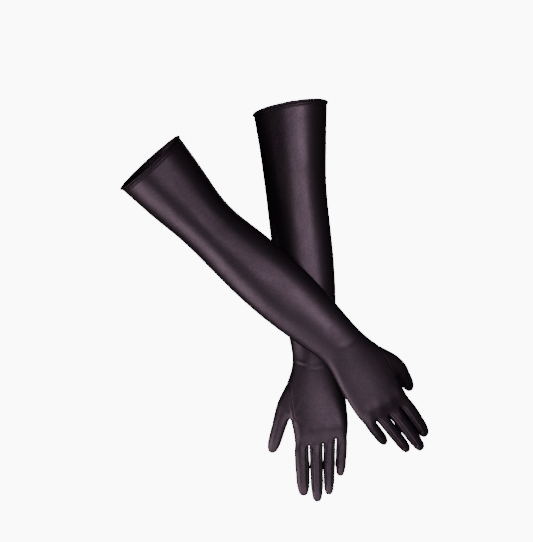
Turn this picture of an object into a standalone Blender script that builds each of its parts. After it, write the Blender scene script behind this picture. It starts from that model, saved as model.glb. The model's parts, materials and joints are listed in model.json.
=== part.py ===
"""A pair of over-elbow opera gloves, as worn, with the right arm crossed in front of the left.

Each glove is cut from one stretch fabric: back and palm panels joined by two side seams, an
inset thumb, four finger stalls with fourchettes between them, and a folded hem that holds an
elastic tape. Where the wearer bends, the tube of fabric is its own ring: the elbow sleeve, the
wrist sleeve and the roots of the fingers and the thumb.

One coarse cage per glove is smoothed by subdivision and cut along its seams into the pieces.
Frame: +Z up, -Y towards the viewer, origin in the middle of the left glove's arm opening.
All sizes here are in millimetres and are turned into metres by MM.
"""
import math
from collections import namedtuple

import bmesh
import bpy
from mathutils import Vector

MM = 0.001

# Fabric and seams
FABRIC = 0.8               # thickness of the stretch fabric
SEAM_GAP = 0.375 * FABRIC   # clearance between pieces: thicker fabric needs more at the finger webs
SMOOTHING = 1              # subdivision steps of the cage

# Hem
HEM_DEPTH = 8.0            # height of the folded hem
HEM_CASING = 1.3           # clear width inside the fold, for the elastic
HEM_FLARE = 1.2            # how far the folded rim stands out from the sleeve
ELASTIC_WIDTH = 4.6
ELASTIC_THICKNESS = 0.7
ELASTIC_CLEARANCE = 0.35   # above and below the tape, inside the casing

# Arm lengths
UPPER_LENGTH = 120.0       # arm opening to elbow
ELBOW_REACH = 60.0         # the elbow sleeve reaches this far above and below the elbow
WRIST_REACH = 26.0         # the wrist sleeve reaches this far above and below the wrist

# Hand, measured from the wrist; across is positive towards the thumb
CROTCH_AT = 80.0           # wrist to thumb crotch
KNUCKLES_AT = 99.0         # wrist to knuckles
WRIST_WIDTH, WRIST_DEPTH = 66.0, 40.0
PALM_WIDTH, PALM_DEPTH = 84.0, 29.0
KNUCKLE_WIDTH = 79.0

# Finger roots and stalls
ROOT_LENGTH = 18.0         # length of the flexible root of a finger
THUMB_ROOT = 16.0          # length of the flexible root of the thumb
THUMB_LENGTH = 57.0        # thumb crotch to thumb tip
THUMB_WIDTH, THUMB_DEPTH = 20.5, 17.5
THUMB_SWELL = 4.5          # how far the thumb's gusset bulges out, over the ball of the thumb

FINGER_WIDTHS = (21.0, 19.0, 17.0, 16.0)   # index, middle, ring, little
FINGER_GAPS = (1.2, 1.4, 2.5)   # clear gaps between the roots of neighbouring fingers
MIDDLE_WEB_AT = -2.4       # across: the web between the middle and the ring finger


def finger_places():
    """Where the fingers lie across the hand, side by side from the middle web outwards."""
    index, middle, ring, little = FINGER_WIDTHS
    middle_at = MIDDLE_WEB_AT + (FINGER_GAPS[1] + middle) / 2.0
    ring_at = MIDDLE_WEB_AT - (FINGER_GAPS[1] + ring) / 2.0
    index_at = middle_at + (middle + index) / 2.0 + FINGER_GAPS[0]
    little_at = ring_at - (ring + little) / 2.0 - FINGER_GAPS[2]
    return index_at, middle_at, ring_at, little_at


# Each finger: places across the hand, from the wrist and towards the back, length and thickness
Finger = namedtuple("Finger", "name across root rise length width depth")
FINGERS = [Finger(name, across, root, rise, length, width, depth)
           for (name, root, rise, length, depth), across, width in zip((
               ("index", 117.0, -0.5, 76.0, 18.0),
               ("middle", 118.0, 1.0, 85.0, 17.6),
               ("ring", 114.0, 0.0, 80.0, 16.6),
               ("little", 108.0, -2.0, 60.0, 15.0)), finger_places(), FINGER_WIDTHS)]
WEB_DEPTHS = (117.0, 115.5, 109.0)   # wrist to each finger web
WEBS = [((thumb_side.across - thumb_side.width / 2.0 + little_side.across
          + little_side.width / 2.0) / 2.0, depth)
        for thumb_side, little_side, depth in zip(FINGERS, FINGERS[1:], WEB_DEPTHS)]
WEB_SLOPE = 1.5            # the webs start this much sooner on the back than in the palm

# Sleeve sections: distance from the arm opening (or back from the wrist), width, depth, forward
Section = namedtuple("Section", "along width depth forward")

Glove = namedtuple("Glove", "name side opening upper_lean forearm_lean forearm_length hand_lean "
                            "hand_tilt hand_roll hem_tilt hem_slant wrist_forward wrist_swell sections "
                            "finger_leans finger_tilts thumb_aim thumb_curl")
# side is the thumb's side: -1 towards -X, +1 towards +X. Leans are degrees from straight down
# towards +X; tilts and rolls turn the hand's fingers and its thumb edge away from the viewer.
LEFT = Glove(
    name="left", side=-1, opening=(-1.4, 0.0, 0.0), upper_lean=3.77, forearm_lean=6.755,
    forearm_length=248.0, hand_lean=3.8, hand_tilt=2.0, hand_roll=0.0, hem_tilt=-7.0,
    hem_slant=6.3, wrist_forward=(0.0, 0.0), wrist_swell=-2.5,
    sections=[Section(HEM_DEPTH, 105.0, 96.0, 0.0),
              Section(UPPER_LENGTH - ELBOW_REACH, 95.0, 90.0, 0.0),
              Section(UPPER_LENGTH, 86.5, 82.0, 0.0),
              Section(UPPER_LENGTH + ELBOW_REACH, 88.0, 74.0, 0.0),
              Section(262.0, 83.5, 62.0, 0.0)],
    finger_leans=(1.0, 2.2, 3.9, 6.2), finger_tilts=(3.0, 3.0, 3.0, 3.0),
    thumb_aim=(0.33, 0.93, -0.12), thumb_curl=0.10)
RIGHT = Glove(
    name="right", side=1, opening=(-201.6, -44.0, -79.9), upper_lean=42.35, forearm_lean=48.2,
    forearm_length=262.6, hand_lean=33.9, hand_tilt=12.0, hand_roll=18.0, hem_tilt=9.0,
    hem_slant=0.0, wrist_forward=(8.0, 12.0), wrist_swell=5.0,
    sections=[Section(HEM_DEPTH, 109.0, 98.0, 0.0),
              Section(UPPER_LENGTH - ELBOW_REACH, 98.5, 92.0, 2.0),
              Section(UPPER_LENGTH, 77.0, 84.0, 8.0),
              Section(UPPER_LENGTH + ELBOW_REACH, 89.0, 74.0, 14.0),
              Section(268.0, 94.5, 66.0, 19.0)],
    finger_leans=(7.4, 8.8, 10.3, 12.1), finger_tilts=(27.5, 24.0, 27.0, 37.5),
    thumb_aim=(0.14, 0.80, -0.58), thumb_curl=0.0)

FABRIC_COLOUR = (0.020, 0.014, 0.022, 1.0)
ELASTIC_COLOUR = (0.035, 0.032, 0.036, 1.0)

RING = 12                  # corners of a sleeve or hand section
FINGER_ANGLES = (0.0, 52.0, 128.0, 180.0, 232.0, 308.0)
THUMB_ANGLES = tuple(45.0 * step for step in range(8))


def shrink(corners):
    """How much smoothing pulls in a closed section with this many corners."""
    return (2.0 + math.cos(2.0 * math.pi / corners)) / 3.0


def lean_direction(lean, tilt=0.0):
    """Downward direction leaning towards +X and tilted away from the viewer, in degrees."""
    lean, tilt = math.radians(lean), math.radians(tilt)
    return Vector((math.sin(lean) * math.cos(tilt), math.sin(tilt),
                   -math.cos(lean) * math.cos(tilt)))


class Axes:
    """Across (to the thumb), along (to the fingertips) and back (to the back of the hand)."""

    def __init__(self, origin, along, side, roll=0.0):
        self.origin = Vector(origin)
        self.along = along.normalized()
        facing = Vector((0.0, -1.0, 0.0))
        across = side * facing.cross(self.along).normalized()
        back = side * self.along.cross(across)
        turn = math.radians(roll)
        self.across = math.cos(turn) * across - math.sin(turn) * back
        self.back = math.cos(turn) * back + math.sin(turn) * across

    def point(self, across, along, back):
        return self.origin + across * self.across + along * self.along + back * self.back

    def direction(self, across, along, back):
        return across * self.across + along * self.along + back * self.back


class Cage:
    """Corners and quads of one glove, with the piece that each quad belongs to."""

    def __init__(self):
        self.points, self.faces, self.pieces, self.names = [], [], [], []

    def ring(self, points):
        first = len(self.points)
        self.points.extend(points)
        return list(range(first, first + len(points)))

    def face(self, corners, piece):
        if piece not in self.names:
            self.names.append(piece)
        self.faces.append(corners)
        self.pieces.append(self.names.index(piece))

    def bridge(self, ring_a, ring_b, piece_of, skip=()):
        """Join two rings corner by corner; piece_of names the piece of each column."""
        count = len(ring_a)
        for column in range(count):
            if column in skip:
                continue
            after = (column + 1) % count
            self.face((ring_a[column], ring_a[after], ring_b[after], ring_b[column]),
                      piece_of(column))


def section_ring(axes, width, depth, squareness=1.0, shift=0.0, slope=0.0):
    """Closed section of a sleeve or a hand; squareness below 1 makes it boxy."""
    half_width, half_depth = width / 2.0 / shrink(RING), depth / 2.0 / shrink(RING)
    points = []
    for corner in range(RING):
        angle = 2.0 * math.pi * corner / RING
        sine = math.sin(angle)
        height = math.copysign(abs(sine) ** squareness, sine) if abs(sine) > 1e-9 else 0.0
        across = shift + half_width * math.cos(angle)
        points.append(axes.point(across, slope * across, half_depth * height))
    return points


def tilted(axes, tilt, slant):
    """Turn a section: tilt dips its near edge, slant lifts its +X edge."""
    turned = Axes(axes.origin, axes.along, 1)
    turned.across, turned.back = axes.across.copy(), axes.back.copy()
    dip = math.tan(math.radians(tilt))
    rise = math.tan(math.radians(slant))
    turned.back = axes.back + dip * axes.along
    turned.across = axes.across + math.copysign(rise, -axes.across.x) * axes.along
    return turned


def sleeve_piece(part):
    """Back panel on the first half of the ring, palm panel on the second."""
    return lambda column: part + ("_back_panel" if column < RING // 2 else "_palm_panel")


def one_piece(name):
    return lambda column: name


def sleeve_rings(cage, glove):
    """Rings from the hem seam down to the wrist; returns them with the wrist's axes."""
    opening = Vector(glove.opening)
    upper = lean_direction(glove.upper_lean)
    forearm = lean_direction(glove.forearm_lean)
    elbow = opening + UPPER_LENGTH * upper

    def centre(along, forward):
        if along <= UPPER_LENGTH:
            place = opening + along * upper
        else:
            place = elbow + (along - UPPER_LENGTH) * forearm
        return place + Vector((0.0, -forward, 0.0))

    wrist_along = UPPER_LENGTH + glove.forearm_length
    rings = []
    for index, section in enumerate(glove.sections):
        direction = upper if section.along < UPPER_LENGTH else forearm
        if section.along == UPPER_LENGTH:
            direction = upper + forearm
        axes = Axes(centre(section.along, section.forward), direction, glove.side)
        if index == 0:
            axes = tilted(axes, glove.hem_tilt, glove.hem_slant)
        rings.append(cage.ring(section_ring(axes, section.width, section.depth)))
    middle, end = glove.wrist_forward
    before = Axes(centre(wrist_along - WRIST_REACH, end), forearm, glove.side, glove.hand_roll * 0.3)
    rings.append(cage.ring(section_ring(before, WRIST_WIDTH + glove.wrist_swell,
                                        WRIST_DEPTH + 6.0)))
    hand = lean_direction(glove.hand_lean, glove.hand_tilt)
    wrist = centre(wrist_along, middle)
    bend = Axes(wrist, forearm + hand, glove.side, glove.hand_roll * 0.6)
    rings.append(cage.ring(section_ring(bend, WRIST_WIDTH, WRIST_DEPTH)))
    return rings, Axes(wrist, hand, glove.side, glove.hand_roll)


def hand_rings(cage, hand):
    """Rings of the palm: wrist end, thumb middle, thumb crotch and knuckles."""
    def ring(along, width, depth, shift, slope=0.0):
        axes = Axes(hand.point(0.0, along, 0.0), hand.along, 1)
        axes.across, axes.back = hand.across, hand.back
        return cage.ring(section_ring(axes, width, depth, 0.72, shift, slope))

    return [ring(WRIST_REACH + 3.0, PALM_WIDTH - 3.0, PALM_DEPTH + 4.0, 3.5),
            ring((WRIST_REACH + CROTCH_AT) / 2.0, PALM_WIDTH + 0.5, PALM_DEPTH + 2.0, 2.5),
            ring(CROTCH_AT, PALM_WIDTH - 1.5, PALM_DEPTH, 0.5),
            ring(KNUCKLES_AT, KNUCKLE_WIDTH, PALM_DEPTH - 2.0, -1.0, 0.08)]


def web_ring(cage, hand):
    """Ring of the finger webs, and the three corners between the fingers."""
    index, little = FINGERS[0], FINGERS[-1]
    edge_r = index.across + index.width / 2.0 + 0.6
    edge_u = little.across - little.width / 2.0 - 0.6
    tops = [(index.across + index.width * 0.22, index.root)] + WEBS
    tops.append((little.across - little.width * 0.22, little.root))
    backs, palms = [], []
    for place, (across, along) in enumerate(tops):
        outer = place in (0, len(tops) - 1)
        height = 8.8 if outer else 8.2
        backs.append(hand.point(across, along - WEB_SLOPE, height))
        palms.append(hand.point(across, along + WEB_SLOPE, -height))
    corners = [hand.point(edge_r, index.root, 0.0)] + backs
    corners += [hand.point(edge_u, little.root, -1.0)] + palms[::-1]
    middles = [hand.point(across, along + 0.5, -0.5) for across, along in WEBS]
    return cage.ring(corners), cage.ring(middles)


def finger_axes(glove, hand, number):
    """Axes of a finger at its root: leaning to the thumb and curling to the palm."""
    finger = FINGERS[number]
    lean = math.radians(glove.finger_leans[number])
    tilt = math.radians(glove.finger_tilts[number] - glove.hand_tilt)
    along = hand.direction(math.sin(lean), math.cos(lean) * math.cos(tilt),
                           -math.cos(lean) * math.sin(tilt))
    axes = Axes(hand.point(finger.across, finger.root, finger.rise), along, glove.side)
    axes.across = (hand.across - hand.across.dot(axes.along) * axes.along).normalized()
    axes.back = glove.side * axes.along.cross(axes.across)
    return axes


def smoothed_reach(offsets):
    """How far a smoothed closed section reaches, from its corners' offsets in one direction."""
    count = len(offsets)
    reach = 0.0
    for corner in range(count):
        before, here = offsets[corner - 1], offsets[corner]
        after, beyond = offsets[(corner + 1) % count], offsets[(corner + 2) % count]
        at_corner = (before + 4.0 * here + after) / 6.0
        at_middle = (before + 23.0 * here + 23.0 * after + beyond) / 48.0
        reach = max(reach, at_corner, at_middle)
    return reach


def ring_at(axes, along, drop, width, depth, angles):
    """Section of a finger or thumb at a distance along it, drop towards the palm."""
    turns = [math.radians(angle) for angle in angles]
    half_width = width / 2.0 / smoothed_reach([math.cos(turn) for turn in turns])
    half_depth = depth / 2.0 / smoothed_reach([math.sin(turn) for turn in turns])
    return [axes.point(half_width * math.cos(turn), along, half_depth * math.sin(turn) - drop)
            for turn in turns]


def finger_piece(name, has_radial, has_ulnar):
    """Columns of a stall that are fourchettes: the sides that face another finger."""
    def piece(column):
        if has_radial and column in (0, 5):
            return name + "_fourchette_thumb_side"
        if has_ulnar and column in (2, 3):
            return name + "_fourchette_little_side"
        return name + "_stall"
    return piece


def build_finger(cage, glove, hand, number, web, middles):
    finger = FINGERS[number]
    axes = finger_axes(glove, hand, number)
    count = len(FINGERS)
    thumb_side = web[0] if number == 0 else middles[number - 1]
    little_side = web[RING // 2] if number == count - 1 else middles[number]
    root = [thumb_side, web[1 + number], web[2 + number], little_side,
            web[RING - 2 - number], web[RING - 1 - number]]
    curl = 0.10 * finger.length

    def ring(share, size, beyond=0.0):
        along = share * finger.length + beyond
        drop = curl * (along / finger.length) ** 2
        return cage.ring(ring_at(axes, along, drop, size * finger.width, size * finger.depth,
                                 FINGER_ANGLES))

    start = ring(0.0, 1.0, beyond=ROOT_LENGTH * 0.42)
    end = ring(0.0, 1.0, beyond=ROOT_LENGTH)
    body = ring(0.52, 0.97)
    pad = ring(1.0, 0.90, beyond=-0.80 * finger.width)
    tip = ring(1.0, 0.60, beyond=0.02 * finger.width)
    cage.bridge(root, start, one_piece(finger.name + "_root"))
    cage.bridge(start, end, one_piece(finger.name + "_root"))
    sides = finger_piece(finger.name, number > 0, number < count - 1)
    cage.bridge(end, body, sides)
    cage.bridge(body, pad, sides)
    cage.bridge(pad, tip, one_piece(finger.name + "_stall"))
    cage.face(tuple(tip), finger.name + "_stall")
    return axes


def thumb_axes(glove, hand):
    """Axes of the thumb at the start of its flexible root."""
    along = hand.direction(*glove.thumb_aim)
    centre = hand.point(PALM_WIDTH / 2.0 + THUMB_WIDTH * 0.60, CROTCH_AT - 5.0, -6.0)
    axes = Axes(centre, along, glove.side)
    axes.back = (hand.back - hand.back.dot(axes.along) * axes.along).normalized()
    axes.across = glove.side * axes.back.cross(axes.along)
    return axes


def build_thumb(cage, glove, hand, rings):
    """Thumb grown out of the opening between three palm rings."""
    upper, middle, lower = rings
    mouth = [upper[0], upper[1], middle[1], lower[1], lower[0], lower[-1], middle[-1], upper[-1]]
    axes = thumb_axes(glove, hand)

    def ring(along, size):
        drop = glove.thumb_curl * along * along / THUMB_LENGTH
        return cage.ring(ring_at(axes, along, drop, size * THUMB_WIDTH, size * THUMB_DEPTH,
                                 THUMB_ANGLES))

    start = ring(0.0, 1.12)
    outer = [max(0.0, math.cos(math.radians(angle))) for angle in THUMB_ANGLES]
    swell = cage.ring([(cage.points[a] + cage.points[b]) / 2.0 + share * THUMB_SWELL * hand.across
                       for a, b, share in zip(mouth, start, outer)])
    end = ring(THUMB_ROOT, 1.0)
    body = ring(THUMB_LENGTH * 0.58, 0.98)
    pad = ring(THUMB_LENGTH - 0.62 * THUMB_WIDTH, 0.90)
    tip = ring(THUMB_LENGTH + 0.02 * THUMB_WIDTH, 0.58)

    def halves(column):
        return "thumb_back_panel" if column < 4 else "thumb_palm_panel"

    cage.bridge(mouth, swell, one_piece("thumb_gusset"))
    cage.bridge(swell, start, one_piece("thumb_gusset"))
    cage.bridge(start, end, one_piece("thumb_root"))
    cage.bridge(end, body, halves)
    cage.bridge(body, pad, halves)
    cage.bridge(pad, tip, halves)
    cage.face((tip[0], tip[1], tip[2], tip[3], tip[4]), "thumb_back_panel")
    cage.face((tip[4], tip[5], tip[6], tip[7], tip[0]), "thumb_palm_panel")
    return axes


def glove_cage(glove):
    """Whole glove as one coarse surface, open at the hem seam."""
    cage = Cage()
    sleeve, hand = sleeve_rings(cage, glove)
    palm = hand_rings(cage, hand)
    web, middles = web_ring(cage, hand)
    rings = sleeve + palm + [web]
    thumb = (0, RING - 1)
    spans = ([sleeve_piece("upper_arm")] + 2 * [one_piece("elbow_sleeve")]
             + 2 * [sleeve_piece("forearm")] + 2 * [one_piece("wrist_sleeve")]
             + 4 * [sleeve_piece("hand")])
    first_palm = len(sleeve)
    for number, piece_of in enumerate(spans):
        skip = thumb if number in (first_palm, first_palm + 1) else ()
        cage.bridge(rings[number], rings[number + 1], piece_of, skip)
    build_thumb(cage, glove, hand, palm[:3])
    for number in range(len(FINGERS)):
        build_finger(cage, glove, hand, number, web, middles)
    return cage


def smooth_skin(cage, glove):
    """Smoothed surface of the glove, with the piece of each face as its material index."""
    mesh = bpy.data.meshes.new(glove.name + "_cage")
    faces = [face if glove.side > 0 else face[::-1] for face in cage.faces]
    mesh.from_pydata([point * MM for point in cage.points], [], faces)
    for name in cage.names:
        mesh.materials.append(None)
    mesh.polygons.foreach_set("material_index", cage.pieces)
    form = bpy.data.objects.new(glove.name + "_form", mesh)
    bpy.context.scene.collection.objects.link(form)
    subdivision = form.modifiers.new("smooth", "SUBSURF")
    subdivision.levels = subdivision.render_levels = SMOOTHING
    evaluated = form.evaluated_get(bpy.context.evaluated_depsgraph_get())
    skin = bpy.data.meshes.new_from_object(evaluated)
    bpy.data.objects.remove(form)
    return skin


def pull_in_edges(surface, inward_layer, distance):
    """Draw the cut edges back along the surface and, in a sharp fold such as a finger web,
    away from the piece on the fold's other side."""
    moves = {}
    for edge in surface.edges:
        if not edge.is_boundary:
            continue
        face = edge.link_faces[0]
        along = (edge.verts[1].co - edge.verts[0].co).normalized()
        inward = face.normal.cross(along)
        middle = (edge.verts[0].co + edge.verts[1].co) / 2.0
        if inward.dot(face.calc_center_median() - middle) < 0.0:
            inward.negate()
        for vert in edge.verts:
            moves.setdefault(vert, []).append(inward)
    for vert, inwards in moves.items():
        total = sum(inwards, Vector())
        if total.length > 1e-6:
            direction = total.normalized()
            open_angle = max(0.5, direction.dot(inwards[0]))
            whole = -vert[inward_layer]
            aside = whole * vert.normal.dot(whole) - vert.normal
            vert.co += direction * distance / open_angle + 2.0 * distance * aside


def cut_piece(skin, number):
    """One piece of the skin as a closed solid of the fabric's thickness."""
    solid = bmesh.new()
    solid.from_mesh(skin)
    inward = solid.verts.layers.float_vector.new("inward")
    for vert in solid.verts:
        vert[inward] = -vert.normal
    others = [face for face in solid.faces if face.material_index != number]
    bmesh.ops.delete(solid, geom=others, context="FACES")
    loose = [vert for vert in solid.verts if not vert.link_faces]
    bmesh.ops.delete(solid, geom=loose, context="VERTS")
    solid.normal_update()
    pull_in_edges(solid, inward, SEAM_GAP / 2.0 * MM)
    lining = bmesh.ops.extrude_face_region(solid, geom=solid.faces[:], use_keep_orig=True)["geom"]
    for item in lining:
        if isinstance(item, bmesh.types.BMVert):
            item.co += item[inward] * FABRIC * MM
    bmesh.ops.recalc_face_normals(solid, faces=solid.faces)
    solid.verts.layers.float_vector.remove(inward)
    for face in solid.faces:
        face.material_index = 0
    return solid


def hem_line(skin):
    """Corners of the arm opening in order, each with its way out and its way up."""
    surface = bmesh.new()
    surface.from_mesh(skin)
    edges = [edge for edge in surface.edges if edge.is_boundary]
    vert = edges[0].verts[0]
    line, seen = [], set()
    while vert not in seen:
        seen.add(vert)
        below = [edge.other_vert(vert) for edge in vert.link_edges if not edge.is_boundary][0]
        line.append((vert.co.copy(), vert.normal.copy(), (vert.co - below.co).normalized()))
        nexts = [edge.other_vert(vert) for edge in vert.link_edges if edge.is_boundary]
        fresh = [other for other in nexts if other not in seen]
        if fresh:
            vert = fresh[0]
    surface.free()
    return line


def sweep_hem(line, profile):
    """Closed ring with this cross-section (out, up) swept around the arm opening."""
    solid = bmesh.new()
    rows = [[solid.verts.new(place + (out * outward + up * upward) * MM) for out, up in profile]
            for place, outward, upward in line]
    count = len(profile)
    for number, row in enumerate(rows):
        after = rows[(number + 1) % len(rows)]
        for corner in range(count):
            other = (corner + 1) % count
            solid.faces.new((row[corner], row[other], after[other], after[corner]))
    bmesh.ops.recalc_face_normals(solid, faces=solid.faces)
    return solid


def casing_top():
    """Height at which the straight casing ends and the rim begins to flare."""
    return SEAM_GAP + ELASTIC_WIDTH + 2.0 * ELASTIC_CLEARANCE


def hem_profile():
    """Fold of fabric: up the outside, round the rim and down the inside."""
    bottom, straight = SEAM_GAP, casing_top()
    inner = -(FABRIC + HEM_CASING)
    bend = FABRIC + HEM_CASING / 2.0
    rim_start = max(HEM_DEPTH - bend, straight + 0.5 * bend)
    outside = [(0.0, bottom), (0.0, straight), (HEM_FLARE, rim_start)]
    rim = []
    for turn in (45.0, 90.0, 135.0):
        angle = math.radians(turn)
        rim.append((HEM_FLARE - bend * (1.0 - math.cos(angle)), rim_start + bend * math.sin(angle)))
    lining = [(HEM_FLARE - 2.0 * bend, rim_start), (inner - FABRIC, straight),
              (inner - FABRIC, bottom), (inner, bottom), (inner, straight)]
    inside_rim = [(HEM_FLARE - 2.0 * bend + FABRIC, rim_start),
                  (HEM_FLARE - bend, rim_start + bend - FABRIC),
                  (HEM_FLARE - FABRIC, rim_start)]
    return outside + rim + lining + inside_rim + [(-FABRIC, straight), (-FABRIC, bottom)]


def elastic_profile():
    """Flat tape in the middle of the casing."""
    middle = -FABRIC - HEM_CASING / 2.0
    half = ELASTIC_THICKNESS / 2.0
    bottom = SEAM_GAP + ELASTIC_CLEARANCE
    top = bottom + ELASTIC_WIDTH
    return [(middle + half, bottom), (middle + half, top), (middle - half, top),
            (middle - half, bottom)]


def material(name, colour, roughness, sheen):
    finish = bpy.data.materials.new(name)
    finish.use_nodes = True
    shader = finish.node_tree.nodes["Principled BSDF"]
    shader.inputs["Base Color"].default_value = colour
    shader.inputs["Roughness"].default_value = roughness
    shader.inputs["Sheen Weight"].default_value = sheen
    return finish


def add_object(collection, name, solid, finish):
    mesh = bpy.data.meshes.new(name)
    solid.to_mesh(mesh)
    solid.free()
    mesh.materials.clear()
    mesh.materials.append(finish)
    mesh.shade_smooth()
    mesh.set_sharp_from_angle(angle=math.radians(50.0))
    piece = bpy.data.objects.new(name, mesh)
    collection.objects.link(piece)
    return piece


def build_glove(collection, glove):
    cage = glove_cage(glove)
    skin = smooth_skin(cage, glove)
    for number, name in enumerate(cage.names):
        node = glove.name + "_" + name
        add_object(collection, node, cut_piece(skin, number),
                   material(node, FABRIC_COLOUR, 0.42, 0.3))
    line = hem_line(skin)
    band, elastic = glove.name + "_hem_band", glove.name + "_hem_elastic"
    add_object(collection, band, sweep_hem(line, hem_profile()),
               material(band, FABRIC_COLOUR, 0.45, 0.3))
    add_object(collection, elastic, sweep_hem(line, elastic_profile()),
               material(elastic, ELASTIC_COLOUR, 0.7, 0.1))


def main():
    for old in list(bpy.data.objects):
        bpy.data.objects.remove(old)
    collection = bpy.data.collections.new("opera_gloves")
    bpy.context.scene.collection.children.link(collection)
    for glove in (LEFT, RIGHT):
        build_glove(collection, glove)


main()
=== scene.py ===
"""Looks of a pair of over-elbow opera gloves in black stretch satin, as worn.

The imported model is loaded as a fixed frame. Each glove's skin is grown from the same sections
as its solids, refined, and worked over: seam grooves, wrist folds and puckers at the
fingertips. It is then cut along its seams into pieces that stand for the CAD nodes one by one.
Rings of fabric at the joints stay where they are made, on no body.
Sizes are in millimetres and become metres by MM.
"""
import heapq
import json
import math
from collections import namedtuple

import bmesh
import bpy
import numpy as np
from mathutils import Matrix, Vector, noise


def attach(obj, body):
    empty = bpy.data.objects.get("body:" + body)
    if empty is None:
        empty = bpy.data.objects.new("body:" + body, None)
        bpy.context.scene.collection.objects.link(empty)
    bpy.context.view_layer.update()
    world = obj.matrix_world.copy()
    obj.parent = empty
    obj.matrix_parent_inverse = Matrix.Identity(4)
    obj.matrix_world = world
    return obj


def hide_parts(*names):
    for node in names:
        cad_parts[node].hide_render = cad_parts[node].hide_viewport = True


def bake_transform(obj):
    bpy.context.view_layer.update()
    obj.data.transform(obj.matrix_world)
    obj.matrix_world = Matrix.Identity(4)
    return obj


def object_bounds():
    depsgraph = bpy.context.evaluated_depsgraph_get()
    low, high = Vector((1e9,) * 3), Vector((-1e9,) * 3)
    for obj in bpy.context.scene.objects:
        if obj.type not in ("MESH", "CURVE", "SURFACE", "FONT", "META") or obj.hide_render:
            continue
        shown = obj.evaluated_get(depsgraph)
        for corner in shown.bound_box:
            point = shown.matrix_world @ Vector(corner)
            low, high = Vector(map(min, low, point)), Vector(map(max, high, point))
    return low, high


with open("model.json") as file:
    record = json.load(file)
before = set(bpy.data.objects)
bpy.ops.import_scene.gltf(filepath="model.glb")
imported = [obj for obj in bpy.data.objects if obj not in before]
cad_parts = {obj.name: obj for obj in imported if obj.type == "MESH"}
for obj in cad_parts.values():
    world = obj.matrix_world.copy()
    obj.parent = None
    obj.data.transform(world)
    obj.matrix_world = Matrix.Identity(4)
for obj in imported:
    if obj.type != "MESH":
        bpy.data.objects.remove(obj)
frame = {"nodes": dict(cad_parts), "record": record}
cad_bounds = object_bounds()

MM = 0.001

# The gloves' pattern, as the model's own
FABRIC = 0.8               # thickness of the stretch fabric

# Hem
HEM_DEPTH = 8.0            # height of the folded hem
HEM_CASING = 1.3           # clear width inside the fold, for the elastic

# Arm lengths
UPPER_LENGTH = 120.0       # arm opening to elbow
ELBOW_REACH = 60.0         # the elbow sleeve reaches this far above and below the elbow
WRIST_REACH = 26.0         # the wrist sleeve reaches this far above and below the wrist

# Hand, measured from the wrist; across is positive towards the thumb
CROTCH_AT = 80.0           # wrist to thumb crotch
KNUCKLES_AT = 99.0         # wrist to knuckles
WRIST_WIDTH, WRIST_DEPTH = 66.0, 40.0
PALM_WIDTH, PALM_DEPTH = 84.0, 29.0
KNUCKLE_WIDTH = 79.0

# Finger roots and stalls
ROOT_LENGTH = 18.0         # length of the flexible root of a finger
THUMB_ROOT = 16.0          # length of the flexible root of the thumb
THUMB_LENGTH = 57.0        # thumb crotch to thumb tip
THUMB_WIDTH, THUMB_DEPTH = 20.5, 17.5
THUMB_SWELL = 4.5          # how far the thumb's gusset bulges out, over the ball of the thumb

FINGER_WIDTHS = (21.0, 19.0, 17.0, 16.0)   # index, middle, ring, little
FINGER_GAPS = (1.2, 1.4, 2.5)   # clear gaps between the roots of neighbouring fingers
MIDDLE_WEB_AT = -2.4       # across: the web between the middle and the ring finger


def finger_places():
    """Where the fingers lie across the hand, side by side from the middle web outwards."""
    index, middle, ring, little = FINGER_WIDTHS
    middle_at = MIDDLE_WEB_AT + (FINGER_GAPS[1] + middle) / 2.0
    ring_at = MIDDLE_WEB_AT - (FINGER_GAPS[1] + ring) / 2.0
    index_at = middle_at + (middle + index) / 2.0 + FINGER_GAPS[0]
    little_at = ring_at - (ring + little) / 2.0 - FINGER_GAPS[2]
    return index_at, middle_at, ring_at, little_at


# Each finger: places across the hand, from the wrist and towards the back, length and thickness
Finger = namedtuple("Finger", "name across root rise length width depth")
FINGERS = [Finger(name, across, root, rise, length, width, depth)
           for (name, root, rise, length, depth), across, width in zip((
               ("index", 117.0, -0.5, 76.0, 18.0),
               ("middle", 118.0, 1.0, 85.0, 17.6),
               ("ring", 114.0, 0.0, 80.0, 16.6),
               ("little", 108.0, -2.0, 60.0, 15.0)), finger_places(), FINGER_WIDTHS)]
WEB_DEPTHS = (117.0, 115.5, 109.0)   # wrist to each finger web
WEBS = [((thumb_side.across - thumb_side.width / 2.0 + little_side.across
          + little_side.width / 2.0) / 2.0, depth)
        for thumb_side, little_side, depth in zip(FINGERS, FINGERS[1:], WEB_DEPTHS)]
WEB_SLOPE = 1.5            # the webs start this much sooner on the back than in the palm

# Sleeve sections: distance from the arm opening (or back from the wrist), width, depth, forward
Section = namedtuple("Section", "along width depth forward")

Glove = namedtuple("Glove", "name side opening upper_lean forearm_lean forearm_length hand_lean "
                            "hand_tilt hand_roll hem_tilt hem_slant wrist_forward wrist_swell "
                            "sections finger_leans finger_tilts thumb_aim thumb_curl")
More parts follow.
